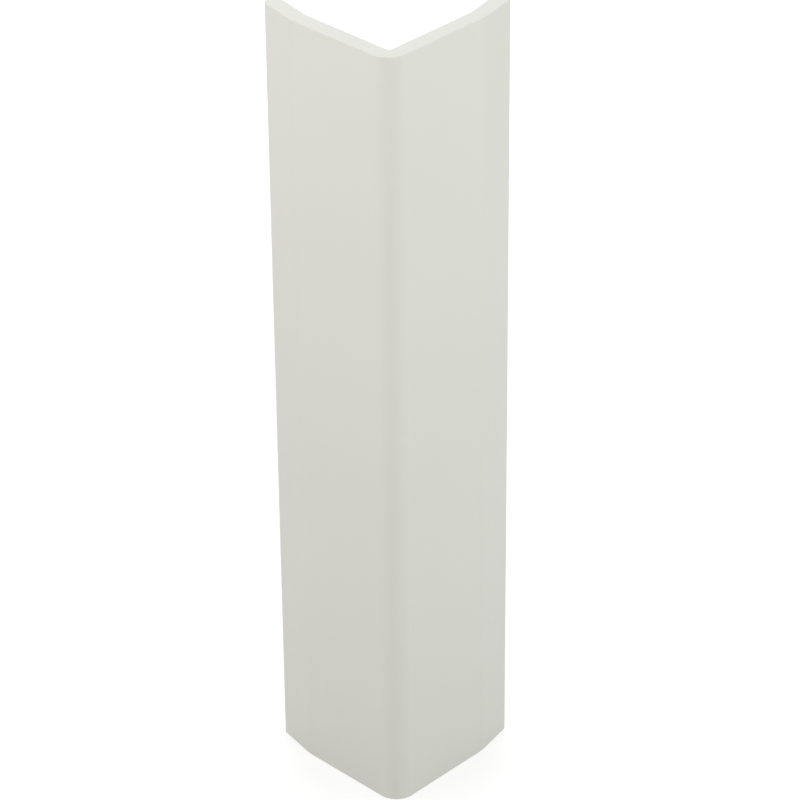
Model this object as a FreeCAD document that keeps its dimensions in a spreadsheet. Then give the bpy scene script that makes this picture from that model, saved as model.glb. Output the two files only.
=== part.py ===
"""Corner guard moulding: one length of extruded plastic angle that wraps the outside corner of a wall.

Both legs have one wall thickness. Their meeting corner is rounded, and each leg ends in a lip that turns
in a little, so that its long edge presses on the wall. The ends are sawn square and lightly deburred.

Frame, in millimetres: Z runs up the corner of the wall and starts at the lower end of the guard. The flat
inner faces lie on the planes Y = 0 and X = 0, so the wall fills the quarter where X and Y are positive.
One leg runs along X and the other along Y, each a mirror image of the other.
"""

import FreeCAD, Part
import math
import os

import Sketcher

# Driving dimensions: name, millimetres or degrees, and what it measures.
SIZES = (
    ("leg_width", 31.75, "outer face of one leg to the long edge of the other, before rounding"),
    ("wall", 3.175, "thickness of the legs and of their lips"),
    ("length", 152.4, "length between the sawn ends"),
    ("corner_radius", 3.97, "rounding of the outer corner"),
    ("inner_radius", 0.79, "fillet in the inner corner"),
    ("lip_length", 9.0, "length of a lip on its outer face, from the bend to the long edge"),
    ("lip_angle", 11.5, "degrees that a lip turns in from its leg"),
    ("bend_radius", 5.0, "radius of the bend into a lip, on its inner face"),
    ("tip_radius", 1.2, "rounding of the long edges"),
    ("end_break", 0.4, "deburring chamfer round the sawn ends"),
)

NODE = "corner_guard"
SHEET = "Sizes"
STEP_FOLDER = "parts"
SAME_PLACE = 1e-4  # mm within which two places count as one

# Ends of a sketch line, and the sketch's own origin point, as Sketcher numbers them.
START, END = 1, 2
ORIGIN = (-1, 1)


def make_sheet(doc):
    """Puts the driving dimensions in a spreadsheet, one named cell each."""
    sheet = doc.addObject("Spreadsheet::Sheet", SHEET)
    for row, (alias, value, meaning) in enumerate(SIZES, start=1):
        sheet.set(f"A{row}", meaning)
        sheet.set(f"B{row}", str(value))
        sheet.setAlias(f"B{row}", alias)
    doc.recompute()
    return sheet


def leg_outline(sheet):
    """The corners of the leg along X, still sharp, from its outer bend round the tip to its inner bend."""
    wall, lip = sheet.wall, sheet.lip_length
    turn = math.radians(sheet.lip_angle)
    reach = sheet.leg_width - wall
    outer_tip = FreeCAD.Vector(reach, lip * math.sin(turn) - wall)
    outer_bend = FreeCAD.Vector(reach - lip * math.cos(turn), -wall)
    inner_tip = outer_tip + FreeCAD.Vector(-math.sin(turn), math.cos(turn)) * wall
    inner_bend = FreeCAD.Vector(outer_bend.x - wall * math.tan(turn / 2), 0)
    return [outer_bend, outer_tip, inner_tip, inner_bend]


def mirrored(point):
    """The matching point of the other leg, across the line that halves the corner."""
    return FreeCAD.Vector(point.y, point.x)


def draw_section(body, sheet):
    """Sketches the guard's section with sharp corners, every size bound to its cell."""
    sketch = body.newObject("Sketcher::SketchObject", "Section")
    base_plane = next(f for f in body.Origin.OriginFeatures if f.Role == "XY_Plane")
    sketch.AttachmentSupport = (base_plane, [""])
    sketch.MapMode = "FlatFace"

    leg = leg_outline(sheet)
    outer_corner = FreeCAD.Vector(-sheet.wall, -sheet.wall)
    inner_corner = FreeCAD.Vector(0, 0)
    corners = [outer_corner, *leg, inner_corner, *map(mirrored, reversed(leg))]
    following = corners[1:] + corners[:1]
    lines = [sketch.addGeometry(Part.LineSegment(a, b), False) for a, b in zip(corners, following)]
    outer_face, lip_outer, tip, lip_inner, inner_face = lines[:5]
    halving_line = sketch.addGeometry(Part.LineSegment(outer_corner, inner_corner), True)

    def hold(kind, *where):
        sketch.addConstraint(Sketcher.Constraint(kind, *where))

    def size(name, alias, kind, *where):
        number = sketch.addConstraint(Sketcher.Constraint(kind, *where))
        sketch.renameConstraint(number, name)
        sketch.setExpression(f"Constraints.{name}", f"{SHEET}.{alias}")

    for line, next_line in zip(lines, lines[1:] + lines[:1]):
        hold("Coincident", line, END, next_line, START)
    hold("Coincident", inner_face, END, *ORIGIN)
    hold("Coincident", halving_line, START, outer_face, START)
    hold("Coincident", halving_line, END, inner_face, END)
    hold("Horizontal", outer_face)
    hold("Horizontal", inner_face)
    hold("Parallel", lip_outer, lip_inner)
    hold("Perpendicular", lip_outer, tip)
    for line, matching_line in zip(lines[:4], reversed(lines[6:])):
        hold("Symmetric", line, END, matching_line, START, halving_line)

    size("wall_below", "wall", "DistanceY", outer_face, START, *ORIGIN, sheet.wall)
    size("wall_beside", "wall", "DistanceX", outer_face, START, *ORIGIN, sheet.wall)
    size("wall_at_tip", "wall", "Distance", tip, sheet.wall)
    size("leg_width", "leg_width", "DistanceX", outer_face, START, lip_outer, END, sheet.leg_width)
    size("lip_length", "lip_length", "Distance", lip_outer, sheet.lip_length)
    size("lip_angle", "lip_angle * 1 deg", "Angle", lip_outer, math.radians(sheet.lip_angle))
    return sketch


def extrude(body, section):
    """Runs the section up from the lower end to the guard's length."""
    pad = body.newObject("PartDesign::Pad", "Extrusion")
    pad.Profile = section
    pad.setExpression("Length", f"{SHEET}.length")
    body.Document.recompute()
    return pad


def upright_edges(shape, places):
    """Names of the edges that run along Z at the given places of the section."""

    def runs_at(edge, place):
        return all(math.hypot(v.X - place.x, v.Y - place.y) < SAME_PLACE for v in edge.Vertexes)

    found = [f"Edge{n}" for n, e in enumerate(shape.Edges, start=1) if any(runs_at(e, p) for p in places)]
    if len(found) != len(places):
        raise RuntimeError(f"{len(found)} edges run along Z where {len(places)} corners were expected")
    return found


def end_edges(shape, length):
    """Names of the edges that border the two sawn ends."""

    def borders(edge, height):
        return all(abs(v.Z - height) < SAME_PLACE for v in edge.Vertexes)

    heights = (0, length)
    return [f"Edge{n}" for n, e in enumerate(shape.Edges, start=1) if any(borders(e, z) for z in heights)]


def dress(kind, name, body, base, edges, size_name, expression):
    """Rounds or chamfers the named edges of the feature before it, to a size from the sheet."""
    feature = body.newObject(kind, name)
    feature.Base = (base, edges)
    feature.setExpression(size_name, expression)
    body.Document.recompute()
    return feature


def finish_edges(body, extrusion, sheet):
    """Rounds the corners of the section along the whole length, then deburrs the sawn ends."""
    outer_bend, outer_tip, inner_tip, inner_bend = leg_outline(sheet)
    outer_corner = FreeCAD.Vector(-sheet.wall, -sheet.wall)
    inner_corner = FreeCAD.Vector(0, 0)
    roundings = (
        ("OuterCorner", [outer_corner], "corner_radius"),
        ("InnerCorner", [inner_corner], "inner_radius"),
        ("OuterBends", [outer_bend, mirrored(outer_bend)], f"bend_radius + {SHEET}.wall"),
        ("InnerBends", [inner_bend, mirrored(inner_bend)], "bend_radius"),
        ("LongEdges", [outer_tip, inner_tip, mirrored(outer_tip), mirrored(inner_tip)], "tip_radius"),
    )
    feature = extrusion
    for name, places, radius in roundings:
        edges = upright_edges(feature.Shape, places)
        feature = dress("PartDesign::Fillet", name, body, feature, edges, "Radius", f"{SHEET}.{radius}")
    edges = end_edges(feature.Shape, sheet.length)
    return dress("PartDesign::Chamfer", "SawnEnds", body, feature, edges, "Size", f"{SHEET}.end_break")


def check(doc, body):
    """Stops the build if any object failed, or the guard isn't one valid solid."""
    for thing in doc.Objects:
        if {"Invalid", "Error"} & set(thing.State):
            raise RuntimeError(f"{thing.Name} failed: {thing.State}")
    if body.Shape.isNull() or not body.Shape.isValid() or len(body.Shape.Solids) != 1:
        raise RuntimeError(f"{body.Label} is not one valid solid")


def main():
    doc = FreeCAD.newDocument("CornerGuardMoulding")
    sheet = make_sheet(doc)
    body = doc.addObject("PartDesign::Body", "CornerGuard")
    body.Label = NODE
    section = draw_section(body, sheet)
    extrusion = extrude(body, section)
    finish_edges(body, extrusion, sheet)
    check(doc, body)

    os.makedirs(STEP_FOLDER, exist_ok=True)
    body.Shape.exportStep(os.path.join(STEP_FOLDER, f"{body.Label}.step"))
    box = body.Shape.BoundBox
    print(f"{body.Label}: {box.XLength:.2f} x {box.YLength:.2f} x {box.ZLength:.2f} mm,"
          f" {body.Shape.Volume:.1f} mm3, section solved with {section.FullyConstrained=}")


main()
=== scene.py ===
# %% [markdown]
# # A corner guard moulding
# A corner guard is a length of stiff off-white plastic angle that is glued over the outside corner of a
# wall. Its nose is rounded, and the long edges of its two legs turn in a little, so that they close against
# the wall. It is squeezed out of a die as one endless section and sawn to length, so it is a single piece.
#
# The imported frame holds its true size. Everything below is drawn in that frame, in metres, and nothing in
# the frame is moved or resized.

# %% Load the frame
import math

import bmesh
import bpy
from mathutils import Matrix, Vector


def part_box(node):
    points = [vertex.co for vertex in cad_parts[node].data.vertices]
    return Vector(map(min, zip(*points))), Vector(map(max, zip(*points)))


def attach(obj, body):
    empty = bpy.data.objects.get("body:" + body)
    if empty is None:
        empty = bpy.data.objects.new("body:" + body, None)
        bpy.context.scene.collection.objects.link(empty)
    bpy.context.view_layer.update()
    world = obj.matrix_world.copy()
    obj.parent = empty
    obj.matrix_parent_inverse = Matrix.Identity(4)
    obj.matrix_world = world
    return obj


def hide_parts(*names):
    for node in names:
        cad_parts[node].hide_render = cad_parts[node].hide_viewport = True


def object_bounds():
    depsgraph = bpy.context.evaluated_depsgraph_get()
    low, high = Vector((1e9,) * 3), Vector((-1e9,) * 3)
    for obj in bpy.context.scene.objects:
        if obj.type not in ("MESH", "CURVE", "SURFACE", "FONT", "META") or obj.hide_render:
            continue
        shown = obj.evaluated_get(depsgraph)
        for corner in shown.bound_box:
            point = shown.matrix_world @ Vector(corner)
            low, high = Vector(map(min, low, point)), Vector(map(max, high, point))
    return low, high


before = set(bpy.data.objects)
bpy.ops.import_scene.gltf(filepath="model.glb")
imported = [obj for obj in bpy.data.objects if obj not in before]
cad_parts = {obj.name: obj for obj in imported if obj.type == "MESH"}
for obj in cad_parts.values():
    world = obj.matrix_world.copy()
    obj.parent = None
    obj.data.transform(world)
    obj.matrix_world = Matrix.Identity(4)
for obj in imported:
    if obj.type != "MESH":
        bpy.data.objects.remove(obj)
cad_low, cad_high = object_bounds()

MM = 0.001
print("nodes in the frame:", list(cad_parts))
print("CAD box in mm:", [round(side / MM, 2) for side in cad_high - cad_low])

# %% [markdown]
# ## The line of the outer face
# The wall is equally thick everywhere, so one open line describes the whole section: the outer face, from
# one long edge to the other. It could be traced from the frame's own mesh, but five points say the same and
# can be read. The frame's origin is at the foot of the guard's inner corner, so the node's box gives the wall
# and the length. The other sizes are the section's own.

# %% Draw the outer line
NODE = "corner_guard"
LEG_WIDTH = 31.75 * MM
LIP_LENGTH = 9.0 * MM
LIP_TURN = math.radians(11.5)

node_low, node_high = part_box(NODE)
WALL = -node_low.x
LENGTH = node_high.z

nose = Vector((-WALL, -WALL))
outer_tip = Vector((LEG_WIDTH - WALL, LIP_LENGTH * math.sin(LIP_TURN) - WALL))
outer_bend = Vector((outer_tip.x - LIP_LENGTH * math.cos(LIP_TURN), -WALL))
outer_line = [outer_tip.yx, outer_bend.yx, nose, outer_bend, outer_tip]
print("wall", round(WALL / MM, 3), "mm, length", round(LENGTH / MM, 1), "mm")
print("outer line in mm:", [tuple(round(c / MM, 2) for c in point) for point in outer_line])

# %% [markdown]
# ## From a line to a wall
# The line is extruded upwards to a thin sheet, and the sheet is given its thickness inwards. Drawing the
# inner line too and filling the section would also work, but then the even wall would be our own sum.
# Here the operator keeps it even, as the die does. Each end comes out as four flat faces, which are
# dissolved into one, because the saw cuts it in one go.

# %% Extrude and thicken
guard_mesh = bmesh.new()
line_verts = [guard_mesh.verts.new((*point, 0)) for point in outer_line]
line_edges = [guard_mesh.edges.new(pair) for pair in zip(line_verts, line_verts[1:])]
raised = bmesh.ops.extrude_edge_only(guard_mesh, edges=line_edges)["geom"]
raised_verts = [part for part in raised if isinstance(part, bmesh.types.BMVert)]
bmesh.ops.translate(guard_mesh, verts=raised_verts, vec=(0, 0, LENGTH))
bmesh.ops.solidify(guard_mesh, geom=guard_mesh.faces[:], thickness=-WALL)
bmesh.ops.recalc_face_normals(guard_mesh, faces=guard_mesh.faces[:])

FLAT = math.radians(1)
bmesh.ops.dissolve_limit(guard_mesh, angle_limit=FLAT, verts=guard_mesh.verts[:], edges=guard_mesh.edges[:])
print("sharp guard:", len(guard_mesh.verts), "corners,", len(guard_mesh.faces), "faces")

# %% [markdown]
# ## Rounding what the die rounds
# A die has no sharp corners. The nose is a clear quarter round, the inner corner has a small fillet, the
# lips leave their legs in a short bend, and the long edges are eased so that they don't cut a hand. A Bevel
# modifier would give them all one width. The bevel operator takes each group of edges with its own radius.
# Where a wall turns by an angle, a round starts as far from the corner as its radius times the tangent of
# half that angle. All rounds have steps of about the same angle, so wide and tight ones look equally smooth.

# %% Round the long edges
NOSE_RADIUS = 3.97 * MM
INNER_RADIUS = 0.79 * MM
BEND_RADIUS = 5.0 * MM
LONG_EDGE_RADIUS = 1.2 * MM
ARC_STEP = math.radians(4.5)
SQUARE = math.radians(90)
NEAR = 0.001 * MM  # two places closer than this are one

inner_corner = Vector((0, 0))
inner_bend = Vector((outer_bend.x - WALL * math.tan(LIP_TURN / 2), 0))
inner_tip = outer_tip + WALL * Vector((-math.sin(LIP_TURN), math.cos(LIP_TURN)))


def round_long_edges(places, turn, radius):
    """Rounds the edges that run the guard's whole length at these places of its section."""

    def runs_here(edge):
        upright = abs(edge.calc_length() - LENGTH) < NEAR
        return upright and any((edge.verts[0].co.xy - place).length < NEAR for place in places)

    edges = [edge for edge in guard_mesh.edges if runs_here(edge)]
    steps = round(turn / ARC_STEP)
    bmesh.ops.bevel(guard_mesh, geom=edges, affect="EDGES", offset_type="OFFSET",
                    offset=radius * math.tan(turn / 2), segments=steps, profile=0.5, material=-1)
    print(len(edges), "edges rounded to", round(radius / MM, 2), "mm in", steps, "steps")


round_long_edges([nose], SQUARE, NOSE_RADIUS)
round_long_edges([inner_corner], SQUARE, INNER_RADIUS)
round_long_edges([outer_bend, outer_bend.yx], LIP_TURN, BEND_RADIUS + WALL)
round_long_edges([inner_bend, inner_bend.yx], LIP_TURN, BEND_RADIUS)
round_long_edges([outer_tip, inner_tip, outer_tip.yx, inner_tip.yx], SQUARE, LONG_EDGE_RADIUS)

# %% [markdown]
# ## The sawn ends
# A saw leaves a burr, and one stroke of a scraper takes it off, so each end has a fine break all round. It
# is only about as wide as a pixel of the picture, but without it the end would meet the faces in a line that
# is sharper than any real edge. It could be left to a shader that rounds edges, but the exported mesh would
# lose that, so it is cut here, with the same operator and a few steps.

# %% Break the end edges
END_BREAK = 0.15 * MM
END_BREAK_STEPS = 3


def lies_on_an_end(edge):
    """Whether an edge borders the lower or the upper end."""
    return any(all(abs(vert.co.z - height) < NEAR for vert in edge.verts) for height in (0, LENGTH))


end_edges = [edge for edge in guard_mesh.edges if lies_on_an_end(edge)]
bmesh.ops.bevel(guard_mesh, geom=end_edges, affect="EDGES", offset_type="OFFSET", offset=END_BREAK,
                segments=END_BREAK_STEPS, profile=0.5, material=-1)
print(len(end_edges), "end edges broken; the guard now has", len(guard_mesh.faces), "faces")

# %% [markdown]
# ## One mesh, two surfaces
# The guard is one piece of plastic with two finishes: the faces that slid out of the die, and the ends that
# the saw left. Two objects would be wrong, so the ends get the second material slot of one mesh. Every face
# is shaded smooth, and the Weighted Normal modifier keeps the wide flats flat beside the narrow rounds.

# %% Make the guard's object
EXTRUDED, SAWN = 0, 1
SAWN_SLOPE = 0.98  # a face is sawn if its normal's height, up or down, is more than this
for face in guard_mesh.faces:
    face.smooth = True
    face.material_index = SAWN if abs(face.normal.z) > SAWN_SLOPE else EXTRUDED

guard_data = bpy.data.meshes.new("pvc_corner_guard")
guard_mesh.to_mesh(guard_data)
guard_mesh.free()
guard = bpy.data.objects.new("pvc_corner_guard", guard_data)
bpy.context.scene.collection.objects.link(guard)
even_shading = guard.modifiers.new("Even shading", "WEIGHTED_NORMAL")
even_shading.mode = "FACE_AREA"
print(guard.name, "has", sum(len(p.vertices) - 2 for p in guard_data.polygons), "triangles")

# %% [markdown]
# ## Two helpers for the materials
# Colours are written as the sRGB hex values that a picture program shows, and the shader wants linear light,
# so one function turns them over. The other adds a node, sets it up and links it. Nodes could be added one
# line at a time, but this keeps each material a short list of what it is made of.

# %% Colours and nodes


def linear(hex_colour):
    """An sRGB hex colour as linear red, green, blue and alpha."""
    channels = [int(hex_colour[i:i + 2], 16) / 255 for i in (1, 3, 5)]
    return [c / 12.92 if c <= 0.04045 else ((c + 0.055) / 1.055) ** 2.4 for c in channels] + [1.0]


def add_node(tree, kind, inputs=None, **settings):
    """Adds a node with its settings, and gives each input, by name or number, a value or a link."""
    made = tree.nodes.new(kind)
    for name, value in settings.items():
        setattr(made, name, value)
    for which, value in (inputs or {}).items():
        if isinstance(value, bpy.types.NodeSocket):
            tree.links.new(value, made.inputs[which])
        else:
            made.inputs[which].default_value = value
    return made


WHITE = linear("#FFFFFF")
print("white is", WHITE, "and mid grey", [round(c, 3) for c in linear("#808080")])

# %% [markdown]
# ## Extruded rigid PVC
# The plastic is rigid PVC, made off-white with chalk and pigment and drawn out of a polished die. That gives
# the eye a satin face: a soft sheen with no clear reflection. The die leaves hair-fine lines along the
# length, the hot skin sets with a faint ripple, and the pigment is a little uneven, warmer here and cooler
# there. An even colour with one roughness would look like a drawing of plastic, so each of the three gets
# its own noise, at its own size in millimetres. Die lines are finer than a pixel of the render, so they are
# drawn about one millimetre wide.

# %% Make the extruded finish
PVC_IOR = 1.53
WARM_PIGMENT, COOL_PIGMENT = "#DAD9D1", "#DCDBD4"
SMOOTHEST, ROUGHEST = 0.36, 0.48
CLOUD_SIZE = 45 * MM
DIE_LINE_WIDTH = 1.1 * MM
DIE_LINE_LENGTH = 180 * MM
DIE_LINE_DEPTH = 0.003 * MM
RIPPLE_SIZE = 5.0 * MM
RIPPLE_DEPTH = 0.012 * MM
NOISE_RANGE = {"From Min": 0.3, "From Max": 0.7}  # nearly all of a Noise texture lies in between


def extruded_pvc():
    """Satin plastic with clouds of pigment, a faint ripple and die lines along the length."""
    material = bpy.data.materials.new("rigid PVC, extruded satin")
    material.use_nodes = True
    tree = material.node_tree
    tree.nodes.clear()
    place = add_node(tree, "ShaderNodeTexCoord").outputs["Object"]

    clouds = add_node(tree, "ShaderNodeTexNoise", {"Vector": place, "Scale": 1 / CLOUD_SIZE, "Detail": 2})
    ripple = add_node(tree, "ShaderNodeTexNoise", {"Vector": place, "Scale": 1 / RIPPLE_SIZE, "Detail": 1})
    drawn_out = (1 / DIE_LINE_WIDTH, 1 / DIE_LINE_WIDTH, 1 / DIE_LINE_LENGTH)
    along = add_node(tree, "ShaderNodeMapping", {"Vector": place, "Scale": drawn_out})
    lines = add_node(tree, "ShaderNodeTexNoise", {
        "Vector": along.outputs["Vector"], "Scale": 1, "Detail": 4, "Roughness": 0.6,
    })

    cloud_share = add_node(tree, "ShaderNodeMapRange", {"Value": clouds.outputs["Fac"], **NOISE_RANGE})
    pigment = add_node(tree, "ShaderNodeMix", {
        "Factor": cloud_share.outputs["Result"], "A": linear(WARM_PIGMENT), "B": linear(COOL_PIGMENT),
    }, data_type="RGBA")
    sheen = add_node(tree, "ShaderNodeMapRange", {
        "Value": lines.outputs["Fac"], **NOISE_RANGE, "To Min": SMOOTHEST, "To Max": ROUGHEST,
    })

    rippled = add_node(tree, "ShaderNodeBump", {"Height": ripple.outputs["Fac"], "Distance": RIPPLE_DEPTH})
    lined = add_node(tree, "ShaderNodeBump", {
        "Height": lines.outputs["Fac"], "Distance": DIE_LINE_DEPTH, "Normal": rippled.outputs["Normal"],
    })
    shader = add_node(tree, "ShaderNodeBsdfPrincipled", {
        "Base Color": pigment.outputs["Result"], "Roughness": sheen.outputs["Result"], "IOR": PVC_IOR,
        "Normal": lined.outputs["Normal"],
    })
    add_node(tree, "ShaderNodeOutputMaterial", {"Surface": shader.outputs["BSDF"]})
    return material


guard_data.materials.append(extruded_pvc())
print("first finish:", guard_data.materials[EXTRUDED].name)

# %% [markdown]
# ## Sawn PVC
# A circular saw with a blade about 250 mm across leaves shallow arcs on the cut, and a duller, slightly paler
# face with small chips. The arcs could be cut into the mesh, but they are only hundredths of a millimetre
# deep, so they are a bump. Rings about the blade's centre, far outside the guard, draw them. Real ones lie
# a tenth of a millimetre apart, too fine for the render, so these are drawn about one millimetre apart.

# %% Make the sawn finish
DEEP_CUT, PALE_CUT = "#DBDBD4", "#E1E1DB"
SAWN_ROUGHNESS = 0.62
BLADE_RADIUS = 125 * MM
BLADE_CENTRE = Vector((-BLADE_RADIUS, 0.3 * BLADE_RADIUS, 0))
SAW_MARK_SPACING = 0.9 * MM
SAW_MARK_DEPTH = 0.012 * MM
CHIP_SIZE = 0.5 * MM
RING_PERIOD = 2 * math.pi / 20  # distance between a Wave texture's rings at a scale of 1


def sawn_pvc():
    """Dull plastic with the arcs of a saw blade and small chips."""
    material = bpy.data.materials.new("rigid PVC, sawn")
    material.use_nodes = True
    tree = material.node_tree
    tree.nodes.clear()
    place = add_node(tree, "ShaderNodeTexCoord").outputs["Object"]

    from_blade = add_node(tree, "ShaderNodeMapping", {"Vector": place, "Location": -BLADE_CENTRE})
    marks = add_node(tree, "ShaderNodeTexWave", {
        "Vector": from_blade.outputs["Vector"], "Scale": RING_PERIOD / SAW_MARK_SPACING,
        "Distortion": 1.5, "Detail": 2, "Detail Scale": 0.4,
    }, wave_type="RINGS", rings_direction="Z")
    chips = add_node(tree, "ShaderNodeTexNoise", {"Vector": place, "Scale": 1 / CHIP_SIZE, "Detail": 3})
    tone = add_node(tree, "ShaderNodeMix", {
        "Factor": chips.outputs["Fac"], "A": linear(DEEP_CUT), "B": linear(PALE_CUT),
    }, data_type="RGBA")

    marked = add_node(tree, "ShaderNodeBump", {"Height": marks.outputs["Fac"], "Distance": SAW_MARK_DEPTH})
    chipped = add_node(tree, "ShaderNodeBump", {
        "Height": chips.outputs["Fac"], "Distance": SAW_MARK_DEPTH, "Normal": marked.outputs["Normal"],
    })
    shader = add_node(tree, "ShaderNodeBsdfPrincipled", {
        "Base Color": tone.outputs["Result"], "Roughness": SAWN_ROUGHNESS, "IOR": PVC_IOR,
        "Normal": chipped.outputs["Normal"],
    })
    add_node(tree, "ShaderNodeOutputMaterial", {"Surface": shader.outputs["BSDF"]})
    return material


guard_data.materials.append(sawn_pvc())
print("second finish:", guard_data.materials[SAWN].name)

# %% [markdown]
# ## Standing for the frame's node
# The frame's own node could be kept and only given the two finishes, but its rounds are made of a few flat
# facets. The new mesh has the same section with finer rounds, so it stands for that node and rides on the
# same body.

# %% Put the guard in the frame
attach(guard, "root")
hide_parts(NODE)
print(guard.name, "stands for", NODE, "of", len(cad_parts[NODE].data.polygons), "triangles")

# %% [markdown]
# ## The camera
# The picture was taken from above with a long lens, and the nose points at the camera. The place, lens and
# slight tilt below were fitted to the guard's outline. A Track To constraint could aim the camera, but the
# tilt would need a second one, so the whole turn is worked out once. The picture is square, so the sensor's
# width is also its height. Azimuth 0 looks along +Y, and it grows as the camera walks round to the right.

# %% Place the camera
VIEW_AZIMUTH = -45.602
VIEW_ELEVATION = 31.648
VIEW_DISTANCE = 665.7 * MM
VIEW_TILT = math.radians(-0.522)
VIEW_AIM = Vector((5.68, 3.76, 80.76)) * MM
LENS = 170.6  # millimetres, in which Blender counts lens and sensor
SENSOR = 36.0


def around(aim, azimuth, elevation, distance):
    """A place at this distance from the aim, in the direction that the two angles give."""
    a, e = math.radians(azimuth), math.radians(elevation)
    return aim + distance * Vector((math.sin(a) * math.cos(e), -math.cos(a) * math.cos(e), math.sin(e)))


def look_at(aim, place):
    """The turn that points a camera or a lamp at this place towards the aim."""
    return (aim - place).to_track_quat("-Z", "Y").to_matrix()


camera_data = bpy.data.cameras.new("camera")
camera_data.lens = LENS
camera_data.sensor_width = SENSOR
camera = bpy.data.objects.new("camera", camera_data)
camera_place = around(VIEW_AIM, VIEW_AZIMUTH, VIEW_ELEVATION, VIEW_DISTANCE)
tilted = look_at(VIEW_AIM, camera_place) @ Matrix.Rotation(VIEW_TILT, 3, "Z")
camera.matrix_world = Matrix.Translation(camera_place) @ tilted.to_4x4()
bpy.context.scene.collection.objects.link(camera)
bpy.context.scene.camera = camera
bpy.context.scene.view_settings.view_transform = "Standard"
print("camera at", [round(c, 3) for c in camera_place], "m")

# %% [markdown]
# ## The floor
# The guard stands on a plain white sheet. A floor that is lit to pure white would throw too much light up at
# the guard, so the floor is a pale grey for the light, and for the camera it also glows a little, just enough
# to reach white where nothing shades it. Where the guard stands, its soft shadow still shows. The lamps are
# close, so further out the sheet would fade to grey. There the glow grows until it is white by itself.

# %% Lay the floor
FLOOR_HALF = 3.0  # metres, as are the two radii
FLOOR_GREY = "#AAAAAA"
NEAR_GLOW, NEAR_RADIUS = 0.62, 0.15
FAR_GLOW, FAR_RADIUS = 1.0, 0.60


def seen_directly(tree):
    """1 for what the camera sees, straight, mirrored or through glass, and 0 for what lights the guard."""
    path = add_node(tree, "ShaderNodeLightPath").outputs
    mirrored = add_node(tree, "ShaderNodeMath", {
        0: path["Is Glossy Ray"], 1: path["Is Transmission Ray"],
    }, operation="MAXIMUM").outputs["Value"]
    either = add_node(tree, "ShaderNodeMath", {0: path["Is Camera Ray"], 1: mirrored}, operation="MAXIMUM")
    return either.outputs["Value"]


def white_sheet():
    """Matt paper, grey for the light and white for the camera."""
    material = bpy.data.materials.new("white paper sheet")
    material.use_nodes = True
    tree = material.node_tree
    tree.nodes.clear()
    paper = add_node(tree, "ShaderNodeBsdfDiffuse", {"Color": linear(FLOOR_GREY)}).outputs["BSDF"]
    place = add_node(tree, "ShaderNodeTexCoord").outputs["Object"]
    from_guard = add_node(tree, "ShaderNodeVectorMath", {0: place}, operation="LENGTH").outputs["Value"]
    strength = add_node(tree, "ShaderNodeMapRange", {
        "Value": from_guard, "From Min": NEAR_RADIUS, "From Max": FAR_RADIUS,
        "To Min": NEAR_GLOW, "To Max": FAR_GLOW,
    })
    glow = add_node(tree, "ShaderNodeEmission", {"Strength": strength.outputs["Result"]}).outputs["Emission"]
    glowing_paper = add_node(tree, "ShaderNodeAddShader", {0: paper, 1: glow}).outputs["Shader"]
    sheet = add_node(tree, "ShaderNodeMixShader", {0: seen_directly(tree), 1: paper, 2: glowing_paper})
    add_node(tree, "ShaderNodeOutputMaterial", {"Surface": sheet.outputs["Shader"]})
    return material


floor_mesh = bmesh.new()
bmesh.ops.create_grid(floor_mesh, x_segments=1, y_segments=1, size=FLOOR_HALF)
floor_data = bpy.data.meshes.new("floor")
floor_mesh.to_mesh(floor_data)
floor_mesh.free()
floor_data.materials.append(white_sheet())
floor = bpy.data.objects.new("floor", floor_data)
bpy.context.scene.collection.objects.link(floor)
print("floor", 2 * FLOOR_HALF, "m wide")

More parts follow.
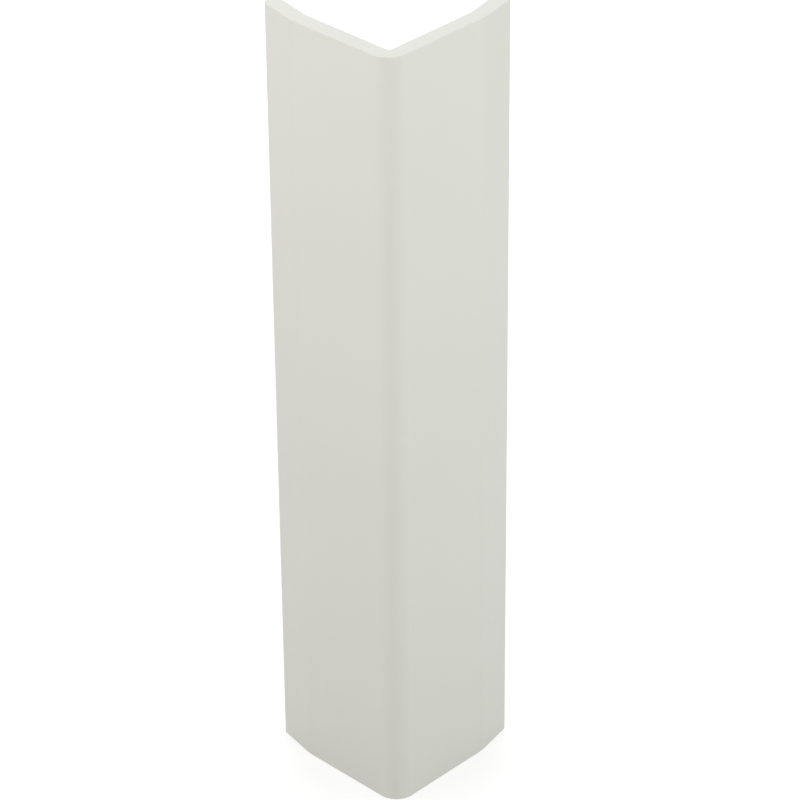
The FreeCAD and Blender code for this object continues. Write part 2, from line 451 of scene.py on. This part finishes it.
# %% [markdown]
# ## The lamps
# The light is that of a small product studio: four square softboxes, which the camera doesn't see. Point
# lamps would do it with fewer numbers, but a softbox is far wider than the guard, so the light on a round
# changes slowly. One stands on each side and one in front. All three are close and aimed at the guard's
# upper half, so it darkens towards the floor. The nose looks between the side lamps, so it is a shade darker
# than the legs. The left lamp is a touch warmer than the right one, and the front one a touch greener than
# white, as the picture's white balance is. The fourth stands behind and higher, and lights the inner faces
# and the sawn end.

# %% Set the lamps
stand_centre = (cad_low + cad_high) / 2


def add_lamp(name, turn, elevation, distance, width, height, power, colour):
    """Sets a square lamp that is turned this far round from the camera and aimed at a point this high."""
    light = bpy.data.lights.new(name, "AREA")
    light.shape = "SQUARE"
    light.size = width
    light.energy = power
    light.color = linear(colour)[:3]
    lamp = bpy.data.objects.new(name, light)
    aim = Vector((stand_centre.x, stand_centre.y, height))
    place = around(aim, VIEW_AZIMUTH + turn, elevation, distance)
    lamp.matrix_world = Matrix.Translation(place) @ look_at(aim, place).to_4x4()
    lamp.visible_camera = False
    bpy.context.scene.collection.objects.link(lamp)
    print(name, "at", [round(c, 2) for c in place], "m,", power, "W")


add_lamp("left softbox", turn=-78, elevation=20, distance=0.28, width=0.20, height=0.11, power=0.287,
         colour="#FFFDFA")
add_lamp("right softbox", turn=78, elevation=8, distance=0.28, width=0.20, height=0.11, power=0.275,
         colour="#F8FFFD")
add_lamp("front softbox", turn=0, elevation=25, distance=0.42, width=0.35, height=0.11, power=0.761,
         colour="#FDFFFC")
add_lamp("back softbox", turn=180, elevation=30, distance=0.60, width=0.50, height=0.076, power=2.0,
         colour="#FFFFFF")

# %% [markdown]
# ## The room
# Light also comes softly from all round, off pale walls. Walls could be built for it, but an even world does
# the same without their edges. For the camera, and in reflections, the room is plain white.

# %% Light the room
ROOM_LIGHT = 0.50

room = bpy.data.worlds.new("pale room")
bpy.context.scene.world = room
room.use_nodes = True
room_tree = room.node_tree
room_tree.nodes.clear()
pale_walls = add_node(room_tree, "ShaderNodeBackground", {"Color": WHITE, "Strength": ROOM_LIGHT})
white_behind = add_node(room_tree, "ShaderNodeBackground", {"Color": WHITE, "Strength": 1.0})
both = add_node(room_tree, "ShaderNodeMixShader", {
    0: seen_directly(room_tree),
    1: pale_walls.outputs["Background"],
    2: white_behind.outputs["Background"],
})
add_node(room_tree, "ShaderNodeOutputWorld", {"Surface": both.outputs["Shader"]})
print("room light", ROOM_LIGHT)
